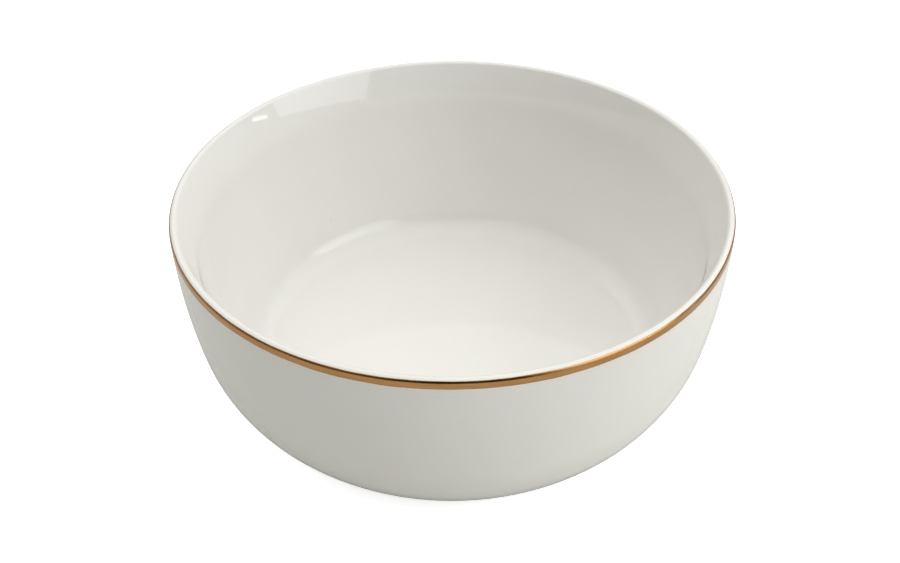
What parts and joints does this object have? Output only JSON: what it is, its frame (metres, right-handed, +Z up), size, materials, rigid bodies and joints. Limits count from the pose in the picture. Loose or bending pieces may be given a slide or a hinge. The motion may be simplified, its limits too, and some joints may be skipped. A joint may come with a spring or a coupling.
{
  "type": "serving bowl",
  "caption": "Round glazed porcelain serving bowl with a steep side, a rounded lip, a gold line below the lip and a low foot ring.",
  "frame": {"origin": "centre of the foot's standing face, on the table", "axes": "+Z up along the bowl's axis; +X and +Y are any two directions across it"},
  "size_m": [0.2002, 0.2002, 0.085],
  "materials": {
    "biscuit": "bare fired porcelain, matte",
    "glaze": "clear gloss glaze over warm white porcelain",
    "gold": "fired-on gold, bright, with light wear"
  },
  "bodies": {
    "root": {"bowl_body": "biscuit", "foot_ring": "biscuit", "inside_glaze": "glaze", "outside_glaze": "glaze", "foot_well_glaze": "glaze", "gilt_band": "gold"}
  },
  "joints": []
}
